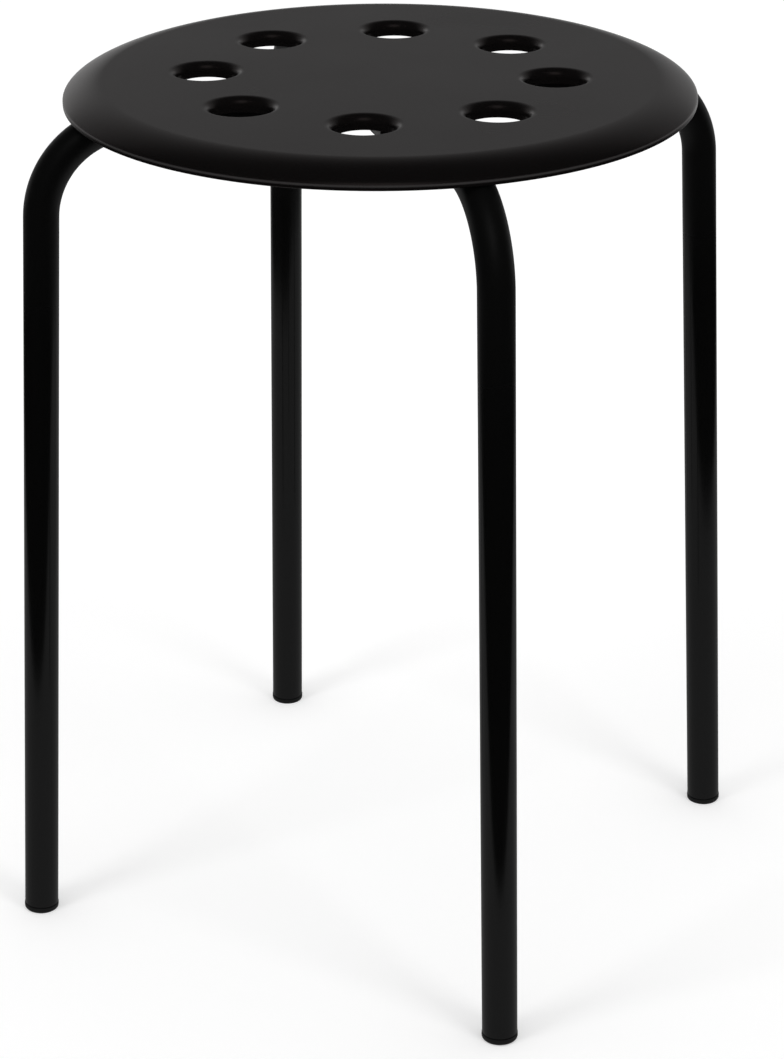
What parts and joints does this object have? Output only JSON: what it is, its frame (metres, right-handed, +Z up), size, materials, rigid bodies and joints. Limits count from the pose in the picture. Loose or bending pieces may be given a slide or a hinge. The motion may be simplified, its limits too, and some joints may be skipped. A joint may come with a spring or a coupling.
{
  "type": "stacking stool",
  "caption": "Round stacking stool: moulded plastic seat with a rolled rim and a ring of finger holes, on bent and splayed steel tube legs with plastic foot caps.",
  "frame": {"origin": "on the floor, under the middle of the seat", "axes": "+Z up; the legs lie on the axes: front leg towards -Y, right leg towards +X"},
  "size_m": [0.4094, 0.4094, 0.45],
  "materials": {
    "seat_plastic": "fine grain, satin black moulded polypropylene",
    "leg_coat": "gloss black powder coat on steel tube",
    "foot_plastic": "plain black moulded polyethylene",
    "screw_steel": "zinc-plated steel"
  },
  "bodies": {
    "root": {"seat": "seat_plastic", "leg_front": "leg_coat", "leg_right": "leg_coat", "leg_back": "leg_coat", "leg_left": "leg_coat", "foot_front": "foot_plastic", "foot_right": "foot_plastic", "foot_back": "foot_plastic", "foot_left": "foot_plastic", "screw_front": "screw_steel", "screw_right": "screw_steel", "screw_back": "screw_steel", "screw_left": "screw_steel"}
  },
  "joints": []
}
